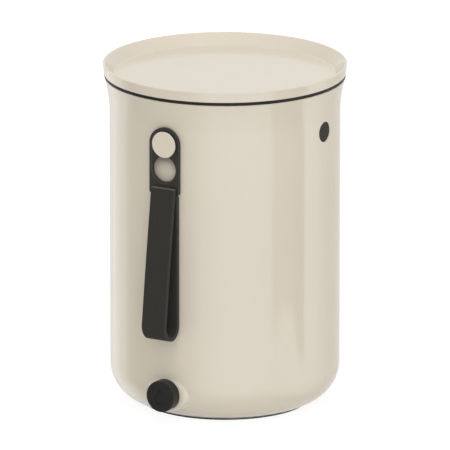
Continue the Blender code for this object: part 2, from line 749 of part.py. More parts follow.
def make_strap_band():
    """The tape's section, swept along the centreline and closed at both ends."""
    middle = band_centreline()
    last = len(middle) - 1
    tape = bmesh.new()
    rings = []
    for i, (out, up) in enumerate(middle):
        before = middle[max(i - 1, 0)]
        after = middle[min(i + 1, last)]
        length = math.hypot(after[0] - before[0], after[1] - before[1])
        across_out = (before[1] - after[1]) / length
        across_up = (after[0] - before[0]) / length
        shift = band_shift(i, last)
        ring = [
            tape.verts.new((aside + shift, -out - depth * across_out, up + depth * across_up))
            for aside, depth in band_section()
        ]
        rings.append(ring)
    sides = len(rings[0])
    for ring, following in zip(rings, rings[1:]):
        for k in range(sides):
            tape.faces.new((ring[k], ring[(k + 1) % sides], following[(k + 1) % sides], following[k]))
    tape.faces.new(rings[0])
    tape.faces.new(rings[-1])
    bmesh.ops.recalc_face_normals(tape, faces=tape.faces)
    mesh = bpy.data.meshes.new("strap_band")
    tape.to_mesh(mesh)
    tape.free()
    return place("strap_band", mesh, PARTS, WEBBING_LOOK, (0, 0, BUTTON_Z), UPRIGHT)


# Side plugs


def make_side_plug(side, turn):
    face = wall_radius(SIDE_PLUG_Z) - SIDE_PLUG_RECESS
    lip_top = pad_face_out() - SEAT_GAP
    profile = [
        (0, face),
        (SIDE_PLUG_RADIUS - SIDE_PLUG_EDGE, face),
        (SIDE_PLUG_RADIUS, face - SIDE_PLUG_EDGE),
        (SIDE_PLUG_RADIUS, face - SIDE_PLUG_THICK),
        (SIDE_PLUG_STEM, face - SIDE_PLUG_THICK),
        (SIDE_PLUG_STEM, lip_top),
        (SIDE_PLUG_LIP_RADIUS, lip_top),
        (SIDE_PLUG_STEM, lip_top - SIDE_PLUG_LIP_THICK),
        (0, lip_top - SIDE_PLUG_LIP_THICK),
    ]
    turned(f"side_plug_{side}", profile, RUBBER_LOOK, SMALL_STEPS, SIDE_PLUG_Z, turn)


# Tap


def collar_back_out():
    return BOSS_FACE_OUT + 2 * SEAT_GAP + OUTER_GASKET_THICK


def knob_bore_end():
    return KNOB_FACE_OUT - KNOB_FRONT_THICK


def hub_face_out():
    return knob_bore_end() - SEAT_GAP


def groove_back_out():
    return BOSS_FACE_OUT + SEAT_GAP + KNOB_MOUTH_DEPTH


def port_out():
    """Middle of the tap's ports, just in front of the o-ring groove."""
    return groove_back_out() + RING_GROOVE_WIDTH + SEAT_GAP + PORT_RADIUS


def make_tap_housing():
    """Barrel through the wall, collar outside and hub that the knob turns on."""
    hub_face = hub_face_out()
    groove_back = groove_back_out()
    groove_front = groove_back + RING_GROOVE_WIDTH
    collar_back = collar_back_out()
    pin_hole = KNOB_PIN_RADIUS + SEAT_GAP
    profile = [
        (pin_hole, hub_face),
        (HUB_RADIUS - KNOB_EDGE, hub_face),
        (HUB_RADIUS, hub_face - KNOB_EDGE),
        (HUB_RADIUS, groove_front),
        (HUB_RADIUS - RING_GROOVE_DEPTH, groove_front),
        (HUB_RADIUS - RING_GROOVE_DEPTH, groove_back),
        (HUB_RADIUS, groove_back),
        (HUB_RADIUS, collar_back + COLLAR_THICK),
        (COLLAR_RADIUS, collar_back + COLLAR_THICK),
        (COLLAR_RADIUS, collar_back),
        (BARREL_RADIUS, collar_back),
        (BARREL_RADIUS, BARREL_END_OUT),
        (BARREL_BORE, BARREL_END_OUT),
        (BARREL_BORE, hub_face - HUB_WALL),
        (pin_hole, hub_face - HUB_WALL),
    ]
    housing = turned("tap_housing", profile, BLACK_LOOK, SMALL_STEPS, TAP_Z, FACE_FRONT, ring=True)
    outlet = rod("outlet_port", PORT_RADIUS, BARREL_BORE / 2, BARREL_RADIUS + OVERRUN, TAP_Z, FACE_DOWN, TINY_STEPS)
    outlet.location.y = -port_out()
    cut(housing, outlet)


def make_tap_knob():
    """Cup that turns on the hub, with a snap pin, a drop mark and a port that opens at a quarter turn."""
    back = BOSS_FACE_OUT + SEAT_GAP
    bore = HUB_RADIUS + SEAT_GAP
    bore_end = knob_bore_end()
    lip_top = hub_face_out() - HUB_WALL - SEAT_GAP
    profile = [
        (0, KNOB_FACE_OUT),
        (KNOB_RADIUS - KNOB_EDGE, KNOB_FACE_OUT),
        (KNOB_RADIUS, KNOB_FACE_OUT - KNOB_EDGE),
        (KNOB_RADIUS, back),
        (KNOB_MOUTH_RADIUS, back),
        (KNOB_MOUTH_RADIUS, back + KNOB_MOUTH_DEPTH),
        (bore, back + KNOB_MOUTH_DEPTH),
        (bore, bore_end),
        (KNOB_PIN_RADIUS, bore_end),
        (KNOB_PIN_RADIUS, lip_top),
        (KNOB_PIN_RADIUS + KNOB_PIN_LIP, lip_top),
        (KNOB_PIN_RADIUS + KNOB_PIN_LIP, lip_top - KNOB_PIN_LIP_THICK),
        (KNOB_PIN_RADIUS, lip_top - KNOB_PIN_LIP_THICK - KNOB_PIN_TIP),
        (0, lip_top - KNOB_PIN_LIP_THICK - KNOB_PIN_TIP),
    ]
    knob = turned("tap_knob", profile, BLACK_LOOK, SMALL_STEPS, TAP_Z, FACE_FRONT)
    port = rod("knob_port", PORT_RADIUS, BARREL_RADIUS, KNOB_RADIUS + OVERRUN, TAP_Z, FACE_LEFT, TINY_STEPS)
    port.location.y = -port_out()
    cut(knob, port)
    mesh = outline_mesh("drop_mark", [drop_outline()], 2 * DROP_DEPTH)
    cut(knob, place("drop_mark", mesh, CUTTERS, None, (0, -KNOB_FACE_OUT, TAP_Z), FACE_FRONT))


def drop_outline():
    """A plain drop: a circle with two tangents that meet at the tip above it."""
    reach = DROP_TIP_UP + DROP_CENTRE_DOWN
    tangent = math.degrees(math.acos(DROP_RADIUS / reach))
    points = [(0, DROP_TIP_UP)]
    points += arc((0, -DROP_CENTRE_DOWN), DROP_RADIUS, 90 + tangent, 450 - tangent, HALF_ROUND_PIECES)
    return points


def make_o_ring():
    middle = HUB_RADIUS - RING_GROOVE_DEPTH + SEAT_GAP / 2 + RING_WIRE
    centre = (middle, groove_back_out() + RING_GROOVE_WIDTH / 2)
    profile = circle(centre, RING_WIRE, RING_SIDES)
    turned("tap_o_ring", profile, RUBBER_LOOK, SMALL_STEPS, TAP_Z, FACE_FRONT, ring=True)


def flat_ring(name, outer, inner, top, bottom):
    profile = [(outer, top), (outer, bottom), (inner, bottom), (inner, top)]
    turned(name, profile, RUBBER_LOOK, SMALL_STEPS, TAP_Z, FACE_FRONT, ring=True)


def make_tap_fixings():
    """Gaskets on both sides of the wall, and the nut that draws them together."""
    bore = BARREL_RADIUS + SEAT_GAP
    outer_back = BOSS_FACE_OUT + SEAT_GAP
    flat_ring("tap_outer_gasket", COLLAR_RADIUS, bore, outer_back + OUTER_GASKET_THICK, outer_back)
    inner_top = BOSS_FACE_OUT - BOSS_WALL - SEAT_GAP
    inner_back = inner_top - INNER_GASKET_THICK
    flat_ring("tap_inner_gasket", INNER_GASKET_RADIUS, bore, inner_top, inner_back)
    nut_middle = inner_back - SEAT_GAP - NUT_THICK / 2
    outlines = [circle((0, 0), NUT_RADIUS, NUT_SIDES), circle((0, 0), bore, SMALL_STEPS)]
    mesh = outline_mesh("tap_nut", outlines, NUT_THICK)
    place("tap_nut", mesh, PARTS, BLACK_LOOK, (0, -nut_middle, TAP_Z), FACE_FRONT)


# Everything, in the order in which it would be assembled

clear_scene()
PARTS = new_collection("bokashi_bin")
CUTTERS = new_collection("cutters")
BODY_LOOK = new_material("cream_plastic", (0.69, 0.64, 0.54), 0.15)
RUBBER_LOOK = new_material("black_rubber", (0.035, 0.035, 0.032), 0.55)
BLACK_LOOK = new_material("black_plastic", (0.035, 0.035, 0.032), 0.40)
WEBBING_LOOK = new_material("dark_webbing", (0.035, 0.036, 0.033), 0.80)
STRAINER_LOOK = new_material("grey_plastic", (0.30, 0.30, 0.28), 0.45)
STEEL_LOOK = new_material("stainless_steel", (0.60, 0.59, 0.57), 0.30, 1.0)

make_bucket()
make_foot_ring()
make_lid()
make_lid_seal()
make_strainer()
for fitting_side, fitting_turn in button_sides():
    make_button(fitting_side, fitting_turn)
make_strap_end("rear", 0)
make_strap_end("front", 1)
make_strap_band()
for plug_side, plug_turn in plug_sides():
    make_side_plug(plug_side, plug_turn)
make_tap_housing()
make_tap_knob()
make_o_ring()
make_tap_fixings()
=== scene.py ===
"""The looks of a kitchen bokashi bin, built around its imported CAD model."""

import math

import bmesh
import bpy
import numpy as np
from mathutils import Matrix, Vector


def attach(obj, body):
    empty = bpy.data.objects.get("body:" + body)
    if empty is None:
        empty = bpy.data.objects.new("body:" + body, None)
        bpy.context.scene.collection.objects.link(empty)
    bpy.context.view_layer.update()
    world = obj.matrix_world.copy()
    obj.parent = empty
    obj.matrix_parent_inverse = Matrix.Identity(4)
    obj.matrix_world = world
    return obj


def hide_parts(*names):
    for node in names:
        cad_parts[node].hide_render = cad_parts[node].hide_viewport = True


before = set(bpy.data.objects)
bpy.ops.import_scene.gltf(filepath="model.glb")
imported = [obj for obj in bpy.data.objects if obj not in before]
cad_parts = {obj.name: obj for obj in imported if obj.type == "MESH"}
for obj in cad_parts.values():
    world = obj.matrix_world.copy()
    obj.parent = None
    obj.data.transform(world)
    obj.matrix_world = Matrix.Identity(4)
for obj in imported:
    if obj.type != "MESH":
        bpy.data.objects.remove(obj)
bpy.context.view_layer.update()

# Sizes in metres. They follow the CAD source, apart from small differences that the photo asks for.
BODY_TOP = 0.3073
BODY_BOTTOM = 0.0013
WALL = 0.0025
RIM_EDGE = 0.0008
MOUTH_RADIUS = 0.1107
NECK_RADIUS = 0.1063
BASE_RADIUS = 0.1058
FLARE_HEIGHT = 0.0290
FLARE_POWER = 1.5
CORNER_RADIUS = 0.0353

LID_TOP = 0.3200
LID_UNDER = 0.3101
TRAY_Z = 0.3098

TAP_Z = 0.0278
KNOB_Z = TAP_Z + 0.0009
KNOB_RADIUS = 0.0147
KNOB_FACE = 0.1177
BOSS_FACE = 0.1066
BOSS_HALF_WIDTH = 0.0212
BOSS_HALF_HEIGHT = 0.0158
BOSS_EDGE = 0.0030
BOSS_BLEND = 0.0026
BOSS_STEP = 0.0007
BOSS_STEP_FROM = 0.0110
BOSS_STEP_RUN = 0.0030

BUTTON_Z = 0.2668
BUTTON_SAG = 0.0003
BUTTON_RADIUS = 0.0123

PLUG_Z = 0.2679
PLUG_RADIUS = 0.0094
PLUG_RECESS = 0.0006
PLUG_THICK = 0.0010
PLUG_STEM = 0.0062
PAD_RADIUS = 0.0128
PAD_INNER = 0.1026
SEAT_RADIUS = 0.00955
SEAT_DEPTH = 0.0013
SEAT_BORE = 0.0065

FRONT = Matrix.Rotation(math.radians(90), 4, "X")
REAR = Matrix.Rotation(math.radians(180), 4, "Z") @ FRONT
RIGHT = Matrix.Rotation(math.radians(90), 4, "Y")
LEFT = Matrix.Rotation(math.radians(-90), 4, "Y")

# Points closer than this are one point
WELD = 1e-6

# Outside the widest wall, where bores start
CUT_FROM = 0.12


# Meshes


def new_object(name, mesh):
    item = bpy.data.objects.new(name, mesh)
    bpy.context.scene.collection.objects.link(item)
    return item


def arc(centre, radius, start, end, pieces):
    """Points along an arc, both ends included, with angles in degrees."""
    angles = np.radians(np.linspace(start, end, pieces + 1))
    return [(centre[0] + radius * math.cos(a), centre[1] + radius * math.sin(a)) for a in angles]


def rounded(corners, pieces=6):
    """A path through (x, y, fillet) corners, with each fillet as an arc."""
    points = []
    for i, corner in enumerate(corners):
        here = Vector(corner[:2])
        if len(corner) < 3:
            points.append(tuple(here))
            continue
        fillet = corner[2]
        before = (Vector(corners[i - 1][:2]) - here).normalized()
        after = (Vector(corners[i + 1][:2]) - here).normalized()
        half = before.angle(after) / 2
        reach = fillet / math.tan(half)
        centre = here + (before + after).normalized() * fillet / math.sin(half)
        first = here + before * reach - centre
        turn = first.angle_signed(here + after * reach - centre)
        for k in range(pieces + 1):
            points.append(tuple(centre + Matrix.Rotation(-turn * k / pieces, 2) @ first))
    return points


def grid_mesh(name, points, rows, columns, wrap_rows, wrap_columns):
    """A sheet of quads over a grid of points, which wraps round in either direction where asked."""
    mesh = bpy.data.meshes.new(name)
    faces = []
    for i in range(rows if wrap_rows else rows - 1):
        for j in range(columns if wrap_columns else columns - 1):
            i2 = (i + 1) % rows
            j2 = (j + 1) % columns
            faces.append((i * columns + j, i2 * columns + j, i2 * columns + j2, i * columns + j2))
    mesh.from_pydata(points, [], faces)
    return mesh


def tidy(mesh):
    """Merged points, faces turned outwards."""
    work = bmesh.new()
    work.from_mesh(mesh)
    bmesh.ops.remove_doubles(work, verts=work.verts, dist=WELD)
    bmesh.ops.dissolve_degenerate(work, edges=work.edges, dist=WELD)
    loose = [edge for edge in work.edges if not edge.link_faces]
    bmesh.ops.delete(work, geom=loose, context="EDGES")
    bmesh.ops.recalc_face_normals(work, faces=work.faces)
    work.to_mesh(mesh)
    work.free()


def close_ends(mesh):
    """Caps on the open ends of a swept sheet, faces turned outwards."""
    work = bmesh.new()
    work.from_mesh(mesh)
    bmesh.ops.holes_fill(work, edges=[e for e in work.edges if e.is_boundary], sides=0)
    bmesh.ops.recalc_face_normals(work, faces=work.faces)
    work.to_mesh(mesh)
    work.free()


def revolve(name, profile, steps=192, ring=False, turn=None, height=0.0, angles=None):
    """A turned solid from (radius, height) points."""
    if angles is None:
        angles = np.linspace(0, 2 * math.pi, steps, endpoint=False)
    radii = np.array([p[0] for p in profile])
    heights = np.array([p[1] for p in profile])
    points = np.empty((len(angles), len(profile), 3))
    points[:, :, 0] = np.cos(angles)[:, None] * radii
    points[:, :, 1] = np.sin(angles)[:, None] * radii
    points[:, :, 2] = heights
    mesh = grid_mesh(name, points.reshape(-1, 3), len(angles), len(profile), True, ring)
    tidy(mesh)
    item = new_object(name, mesh)
    if turn:
        mesh.transform(Matrix.Translation((0, 0, height)) @ turn)
    return item


def fill_outline(name, outlines, thickness, turn, height, out):
    """A flat solid from closed outlines, with its middle this far out of the bin's axis."""
    curve = bpy.data.curves.new(name, "CURVE")
    curve.dimensions = "2D"
    curve.fill_mode = "BOTH"
    curve.extrude = thickness / 2
    for points in outlines:
        spline = curve.splines.new("POLY")
        spline.points.add(len(points) - 1)
        for point, (x, y) in zip(spline.points, points):
            point.co = (x, y, 0, 1)
        spline.use_cyclic_u = True
    drawn = new_object(name, curve)
    graph = bpy.context.evaluated_depsgraph_get()
    mesh = bpy.data.meshes.new_from_object(drawn.evaluated_get(graph))
    bpy.data.objects.remove(drawn)
    mesh.transform(Matrix.Translation((0, 0, height)) @ turn @ Matrix.Translation((0, 0, out)))
    tidy(mesh)
    return new_object(name, mesh)


def boolean(target, tool, operation="DIFFERENCE"):
    """A cut or a union with a tool that is used up."""
    step = target.modifiers.new("Cut", "BOOLEAN")
    step.operation = operation
    step.object = tool
    step.solver = "MANIFOLD"
    apply(target)
    bpy.data.objects.remove(tool)


def apply(item):
    """The evaluated mesh in place of the modifiers."""
    graph = bpy.context.evaluated_depsgraph_get()
    made = bpy.data.meshes.new_from_object(item.evaluated_get(graph))
    item.modifiers.clear()
    item.data = made


def bore(target, name, steps, sides, turn, height):
    """A stepped bore into a wall, from (radius, where it ends) steps that start outside."""
    start = CUT_FROM
    profile = [(0, start)]
    for radius, end in steps:
        profile += [(radius, start), (radius, end)]
        start = end
    profile.append((0, start))
    boolean(target, revolve(name, profile, sides, turn=turn, height=height))


def soften(item, width):
    """A narrow bevel on the real corners."""
    bevel = item.modifiers.new("Soft edges", "BEVEL")
    bevel.width = width
    bevel.segments = 3
    bevel.limit_method = "ANGLE"
    bevel.angle_limit = math.radians(35)
    bevel.harden_normals = False


def smooth(item):
    """Smooth shading that keeps real corners."""
    if item.modifiers:
        apply(item)
    item.data.polygons.foreach_set("use_smooth", [True] * len(item.data.polygons))
    item.data.set_sharp_from_angle(angle=math.radians(32))
    weigh = item.modifiers.new("Normals", "WEIGHTED_NORMAL")
    weigh.keep_sharp = True


def finish_piece(item, node, body, look):
    """Shading, material and the node of the CAD model that a piece stands for."""
    smooth(item)
    item.data.materials.clear()
    item.data.materials.append(look)
    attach(item, body)
    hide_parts(node)


# Bucket

# The wall round the tap has a finer grid, up to this height and this far to each side
TAP_TOP = 0.060
TAP_SIDE = 0.034

# (radius, height) down the step under the base to the foot ring, and the slot for its tongue
FOOT_STEP = ((0.0792, 0.0019), (0.0782, 0.0014), (0.0778, 0.0022), (0.0740, 0.0022), (0.0740, 0.0015))

# Where the step under the base begins: what lies further in is no part of the wall
STEP_RADIUS = 0.078

# (radius, where it ends) of the bores for the tap and for a strap button
TAP_BORE = ((0.0093, 0.1036), (0.0142, 0.060))
BUTTON_BORE = ((0.0043, 0.095),)


def wall_radius(height):
    """Radius of the outer wall above its rounded corner."""
    flare_start = BODY_TOP - FLARE_HEIGHT
    corner_top = BODY_BOTTOM + CORNER_RADIUS
    if height > flare_start:
        share = (height - flare_start) / FLARE_HEIGHT
        return NECK_RADIUS + (MOUTH_RADIUS - NECK_RADIUS) * share**FLARE_POWER
    share = (height - corner_top) / (flare_start - corner_top)
    return BASE_RADIUS + (NECK_RADIUS - BASE_RADIUS) * share


def bucket_profile():
    """Outer wall from the rim down to the base, then the inside from the floor up to the rim."""
    centre = (BASE_RADIUS - CORNER_RADIUS, BODY_BOTTOM + CORNER_RADIUS)
    edge_z = BODY_TOP - RIM_EDGE
    flare = np.linspace(edge_z, BODY_TOP - FLARE_HEIGHT, 20)
    straight = np.linspace(BODY_TOP - FLARE_HEIGHT, TAP_TOP, 24)[1:]
    near_tap = np.linspace(TAP_TOP, centre[1], 26)[1:]
    heights = [*flare, *straight, *near_tap]
    points = arc((MOUTH_RADIUS - RIM_EDGE, edge_z), RIM_EDGE, 90, 10, 4)
    points += [(wall_radius(z), z) for z in heights]
    points += arc(centre, CORNER_RADIUS, 0, -70, 60)[1:]
    points += [*FOOT_STEP, (centre[0], BODY_BOTTOM), (0, BODY_BOTTOM), (0, BODY_BOTTOM + WALL)]
    points += arc(centre, CORNER_RADIUS - WALL, -90, 0, 24)
    points += [(wall_radius(z) - WALL, z) for z in heights[::-3][1:-1]]
    points += arc((MOUTH_RADIUS - WALL + RIM_EDGE, edge_z), RIM_EDGE, 180, 90, 4)
    return points


def boss_reach(across, up):
    """How far out the tap's boss reaches at a place beside and above the tap's axis."""
    away = np.hypot(across / BOSS_HALF_WIDTH, up / BOSS_HALF_HEIGHT) * BOSS_HALF_HEIGHT
    over = np.clip(away - (BOSS_HALF_HEIGHT - BOSS_EDGE), 0, None)
    rounding = BOSS_EDGE - np.sqrt(np.clip(BOSS_EDGE**2 - over**2, 0, None))
    fall = BOSS_EDGE + (over - BOSS_EDGE) * 7
    rim = np.where(over < BOSS_EDGE, rounding, fall)
    step = BOSS_STEP * np.clip((away - BOSS_STEP_FROM) / BOSS_STEP_RUN, 0, 1)
    return BOSS_FACE - step - rim


def raise_boss(mesh):
    """Outer skin round the tap, pushed out to the boss with a soft foot."""
    points = np.empty(len(mesh.vertices) * 3)
    mesh.vertices.foreach_get("co", points)
    points = points.reshape(-1, 3)
    across, out, up = points[:, 0], -points[:, 1], points[:, 2]
    radius = np.hypot(across, out)
    drop = np.clip(BODY_BOTTOM + CORNER_RADIUS - up, 0, None)
    bulge = np.sqrt(np.clip(CORNER_RADIUS**2 - drop**2, 0, None))
    skin = np.where(drop > 0, BASE_RADIUS - CORNER_RADIUS + bulge, BASE_RADIUS)
    outside = (radius > skin - 0.001) & (radius > STEP_RADIUS) & (out > 0) & (up < TAP_TOP)
    ahead = boss_reach(across, up - TAP_Z) - out
    share = np.clip(ahead / BOSS_BLEND, -1, 1)
    swell = np.where(np.abs(share) < 1, BOSS_BLEND * (share + 1) ** 2 / 4, np.clip(ahead, 0, None))
    points[:, 1] -= np.where(outside, swell, 0)
    mesh.vertices.foreach_set("co", points.ravel())


def make_bucket():
    """The turned wall with its boss, the pads and seats of the side plugs, and the other bores."""
    near = np.arcsin(np.linspace(-TAP_SIDE, TAP_SIDE, 137) / BASE_RADIUS) - math.pi / 2
    far = np.linspace(near[-1], near[0] + 2 * math.pi, 232)[1:-1]
    bucket = revolve("bucket", bucket_profile(), ring=True, angles=np.concatenate([near, far]))
    raise_boss(bucket.data)
    in_wall = 0.1050
    pad = rounded([(0, in_wall), (PAD_RADIUS, in_wall), (PAD_RADIUS, PAD_INNER, 0.0004), (0, PAD_INNER)])
    seat = wall_radius(PLUG_Z) - PLUG_RECESS - SEAT_DEPTH
    for turn in (RIGHT, LEFT):
        boolean(bucket, revolve("pad", pad, 64, turn=turn, height=PLUG_Z), "UNION")
        bore(bucket, "seat", ((SEAT_RADIUS, seat), (SEAT_BORE, 0.095)), 72, turn, PLUG_Z)
    bore(bucket, "seat", TAP_BORE, 72, FRONT, TAP_Z)
    for turn in (FRONT, REAR):
        bore(bucket, "hole", BUTTON_BORE, 40, turn, BUTTON_Z)
    return bucket


def make_foot_ring():
    """Anti-slip ring, with a tongue that reaches up into the slot under the base."""
    outer, inner, tongue = 0.0776, 0.0710, 0.0743
    top, shoulder = 0.0020, 0.00115
    corners = [(outer, top), (outer, 0, 0.0004), (inner, 0, 0.0004), (inner, shoulder), (tongue, shoulder)]
    return revolve("foot", rounded([*corners, (tongue, top)]), ring=True)


# Lid and its seal


def make_lid():
    """A tray with a flared rim, and a hollow plug below it that reaches into the mouth."""
    tray, rim_inner, rim_outer, skirt = 0.1018, 0.1105, 0.1124, 0.1113
    hollow_outer, hollow_inner, hollow_top = 0.1094, 0.1052, 0.3162
    plug_outer, plug_inner, plug_z, ceiling = 0.1046, 0.1025, 0.2990, 0.3076
    corners = [
        (0, TRAY_Z), (tray, TRAY_Z, 0.0024), (rim_inner, LID_TOP, 0.0006), (rim_outer, LID_TOP, 0.0006),
        (skirt, LID_UNDER, 0.0009), (hollow_outer, LID_UNDER), (hollow_outer, hollow_top),
        (hollow_inner, LID_UNDER), (plug_outer, LID_UNDER), (plug_outer, plug_z, 0.0005),
        (plug_inner, plug_z, 0.0005), (plug_inner, ceiling, 0.0015), (0, ceiling),
    ]
    return revolve("tray_lid", rounded(corners), 256)


def make_lid_seal():
    """A flat ring between lid and rim, with two lips that reach out to the mouth's wall."""
    top = LID_UNDER - 0.00002
    under = BODY_TOP + 0.0001
    outer, lip, sleeve, inner, end = 0.1111, 0.1073, 0.1062, 0.1048, 0.3022
    corners = [
        (outer, top), (outer, under, 0.0004), (lip, under), (sleeve, 0.3072), (sleeve, 0.3062),
        (lip, 0.3052), (sleeve, 0.3044), (sleeve, end), (inner, end), (inner, top),
    ]
    return revolve("seal", rounded(corners), 256, ring=True)


# Strainer

PLATE_UNDER = 0.0500
PLATE_TOP = 0.0522
LEG_RING = 0.0600
LEG_COUNT = 6
HOLE_SHARES = (0.30, 0.53, 0.76, 1.24, 1.47)
HOLE_PITCH = 0.0220


def make_strainer():
    """A plate with a raised rim, a knob, a rib ring below and rings of holes, on six legs."""
    knob, stem, knob_top, knob_under = 0.0085, 0.0045, 0.0792, 0.0622
    rim_inner, rim_outer, rim_top = 0.0980, 0.1000, 0.0582
    rib_outer, rib_inner, rib_under = 0.0610, 0.0590, 0.0465
    corners = [
        (0, knob_top), (knob, knob_top, 0.0084), (knob, knob_under, 0.0084), (stem, knob_under, 0.0010),
        (stem, PLATE_TOP, 0.0012), (rim_inner, PLATE_TOP, 0.0010), (rim_inner, rim_top, 0.0008),
        (rim_outer, rim_top, 0.0008), (rim_outer, PLATE_UNDER, 0.0008), (rib_outer, PLATE_UNDER),
        (rib_outer, rib_under, 0.0004), (rib_inner, rib_under, 0.0004), (rib_inner, PLATE_UNDER),
        (0, PLATE_UNDER),
    ]
    strainer = revolve("strainer_plate", rounded(corners), 160)
    hole, depth = 0.0018, 0.006
    holes = bmesh.new()
    for share in HOLE_SHARES:
        ring = LEG_RING * share
        count = round(2 * math.pi * ring / HOLE_PITCH)
        for i in range(count):
            spot = Vector((ring, 0, 0.051))
            spot.rotate(Matrix.Rotation(2 * math.pi * i / count, 3, "Z"))
            bmesh.ops.create_cone(
                holes, cap_ends=True, segments=24, radius1=hole, radius2=hole, depth=depth,
                matrix=Matrix.Translation(spot),
            )
    mesh = bpy.data.meshes.new("holes")
    holes.to_mesh(mesh)
    holes.free()
    boolean(strainer, new_object("holes", mesh))
    leg_top, leg_foot = 0.0511, 0.0041
    leg = rounded([(0, leg_top), (0.0046, leg_top), (0.0034, leg_foot, 0.0010), (0, leg_foot)])
    for i in range(LEG_COUNT):
        angle = 2 * math.pi * (i + 0.5) / LEG_COUNT
        piece = revolve("leg", leg, 32)
        spot = (LEG_RING * math.cos(angle), LEG_RING * math.sin(angle), 0)
        piece.data.transform(Matrix.Translation(spot))
        boolean(strainer, piece, "UNION")
    return strainer


# Strap

END_HALF_WIDTH = 0.0155
END_THICK = 0.0016
END_DROP = 0.0470
REAR_PLATE_BACK = 0.10688
FRONT_PLATE_BACK = 0.10868
SLOT_RADIUS = 0.0054
HOLE_DROP = 0.0236
HOLE_RADIUS = 0.0121
POCKET_RADIUS = 0.0139
POCKET_SLOPE = 0.0013
POCKET_DEPTH = 0.0008
POCKET_STEPS = 2


def sloped_cutter(outlines, face):
    """A cutter whose outline narrows as it goes into a plate's face."""
    count = len(outlines[0])
    levels = [face + POCKET_DEPTH]
    levels += [face - POCKET_DEPTH * k / POCKET_STEPS for k in range(POCKET_STEPS + 1)]
    rings = [outlines[0], *outlines]
    points = [(x, y, level) for ring, level in zip(rings, levels) for x, y in ring]
    mesh = grid_mesh("pocket", points, len(rings), count, False, True)
    mesh.transform(Matrix.Translation((0, 0, BUTTON_Z)) @ FRONT)
    close_ends(mesh)
    return new_object("pocket", mesh)


def make_strap_end(name, back, pocket_out):
    """A plate with a round top, a keyhole and a shallow pocket round it."""
    foot = -END_DROP
    side = END_HALF_WIDTH
    outer = arc((0, 0), side, 0, 180, 72)
    outer += rounded([(-side, 0), (-side, foot, 0.0020), (side, foot, 0.0020), (side, 0)], 8)[1:-1]
    meet = math.degrees(math.asin(SLOT_RADIUS / HOLE_RADIUS))
    hole = arc((0, 0), SLOT_RADIUS, 0, 180, 24)
    hole += arc((0, -HOLE_DROP), HOLE_RADIUS, 90 + meet, 450 - meet, 72)
    plate = fill_outline(name, [outer, hole], END_THICK, FRONT, BUTTON_Z, back + END_THICK / 2)
    steps = []
    for k in range(POCKET_STEPS + 1):
        reach = POCKET_RADIUS - POCKET_SLOPE * k / POCKET_STEPS
        steps.append(arc((0, 0), reach, 0, 180, 60) + arc((0, -HOLE_DROP), reach, 180, 360, 60))
    boolean(plate, sloped_cutter(steps, pocket_out))
    soften(plate, 0.00045)
    return plate


BAND_THICK = 0.0037
BAND_HALF_WIDTH = 0.01235
BAND_EDGE = 0.0005
BAND_SHIFT = 0.0019
BAND_LEAN = 0.0009
BAND_BEND = 0.0117
BAND_TOP = BUTTON_Z - 0.0404
BAND_DROP = 0.1832

# Added across the tape in its own coordinates, which stay above zero
TAPE_OFFSET = 0.02


def band_path():
    """Middle of the tape as (out, height, drift), from its front top end round the bend to its rear end."""
    radius = BAND_BEND - BAND_THICK / 2
    rear_out = REAR_PLATE_BACK + BAND_THICK / 2
    bend = (rear_out + radius, BUTTON_Z - BAND_DROP + BAND_BEND)
    lap_gap, end_gap = 0.0002, 0.0003
    front = (FRONT_PLATE_BACK + END_THICK + lap_gap + BAND_THICK / 2, BAND_TOP)
    away = math.hypot(front[0] - bend[0], front[1] - bend[1])
    touch = math.atan2(front[1] - bend[1], front[0] - bend[0]) - math.acos(radius / away)
    pieces = 60
    around = arc(bend, radius, math.degrees(touch), -180, pieces)
    reach_out, reach_up = around[0][0] - front[0], around[0][1] - front[1]
    points = []
    for share in np.concatenate([np.linspace(0, 0.02, 14), np.linspace(0.02, 1, 60)[1:-1]]):
        lean = BAND_LEAN * max(1 - share / 0.75, 0) ** 1.5
        points.append((front[0] + reach_out * share, front[1] + reach_up * share, lean))
    for i, (out, up) in enumerate(around):
        points.append((out, up, BAND_SHIFT * (1 - (1 - i / pieces) ** 3)))
    rear_top = BUTTON_Z - END_DROP - end_gap
    for share in np.linspace(0, 1, 60)[1:]:
        points.append((rear_out, bend[1] + (rear_top - bend[1]) * share, BAND_SHIFT))
    return np.array(points)


